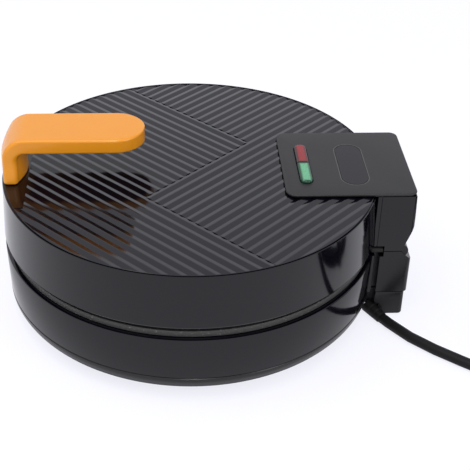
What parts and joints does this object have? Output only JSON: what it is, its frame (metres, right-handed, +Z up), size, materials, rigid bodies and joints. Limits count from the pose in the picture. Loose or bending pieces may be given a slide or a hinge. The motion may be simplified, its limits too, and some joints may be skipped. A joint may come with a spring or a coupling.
{
  "type": "cake_pop_maker",
  "caption": "Round countertop cake pop maker with a hinged ribbed lid, strap handle, two indicator lenses and plates of half-ball cavities.",
  "frame": {"origin": "centre of the bounding box of the rigid pieces, on the surface that the feet stand on", "axes": "+Z up, -Y to the front where the handle stands, +Y to the hinge, +X to the side where the lead leaves"},
  "size_m": [0.2351, 0.3806, 0.113],
  "materials": {
    "gloss_black": "gloss",
    "satin_black": "satin",
    "matt_black": "matt",
    "non_stick": "non-stick coated",
    "orange_plastic": "satin gloss",
    "red_lens": "translucent gloss",
    "green_lens": "translucent gloss",
    "lamp_glass": "gloss",
    "steel": "bright",
    "aluminium": "plain",
    "ceramic": "unglazed ceramic",
    "black_rubber": "matt",
    "lead_black": "satin",
    "sleeve_grey": "matt",
    "plug_pin": "bright"
  },
  "bodies": {
    "base": {"base_shell": "gloss_black", "bottom_cover": "satin_black", "lower_plate": "non_stick", "lower_heating_element": "steel", "lower_reflector": "aluminium", "thermostat": "ceramic", "thermal_fuse": "steel", "terminal_block": "ceramic", "lower_hinge_housing": "satin_black", "hinge_pin": "steel", "left_lead_sleeve": "sleeve_grey", "right_lead_sleeve": "sleeve_grey", "front_left_foot": "black_rubber", "front_right_foot": "black_rubber", "rear_left_foot": "black_rubber", "rear_right_foot": "black_rubber", "bottom_screw_1": "steel", "bottom_screw_2": "steel", "bottom_screw_3": "steel", "bottom_screw_4": "steel", "strain_relief": "lead_black", "cord": "lead_black", "cord_coil": "lead_black", "cord_tie": "black_rubber", "plug_relief": "lead_black", "plug_body": "lead_black", "plug_pin_1": "plug_pin", "plug_pin_2": "plug_pin"},
    "lid": {"lid_shell": "gloss_black", "upper_plate": "non_stick", "upper_heating_element": "steel", "upper_reflector": "aluminium", "upper_hinge_housing": "gloss_black", "hinge_panel": "matt_black", "red_lens": "red_lens", "green_lens": "green_lens", "red_lamp": "lamp_glass", "green_lamp": "lamp_glass", "handle": "orange_plastic", "handle_screw_1": "steel", "handle_screw_2": "steel"}
  },
  "joints": [
    {"name": "lid_hinge", "type": "hinge", "parent": "base", "child": "lid", "pos_m": [0, 0.11365, 0.0473], "axis": [-1, 0, 0], "range_deg": [0, 100]}
  ]
}
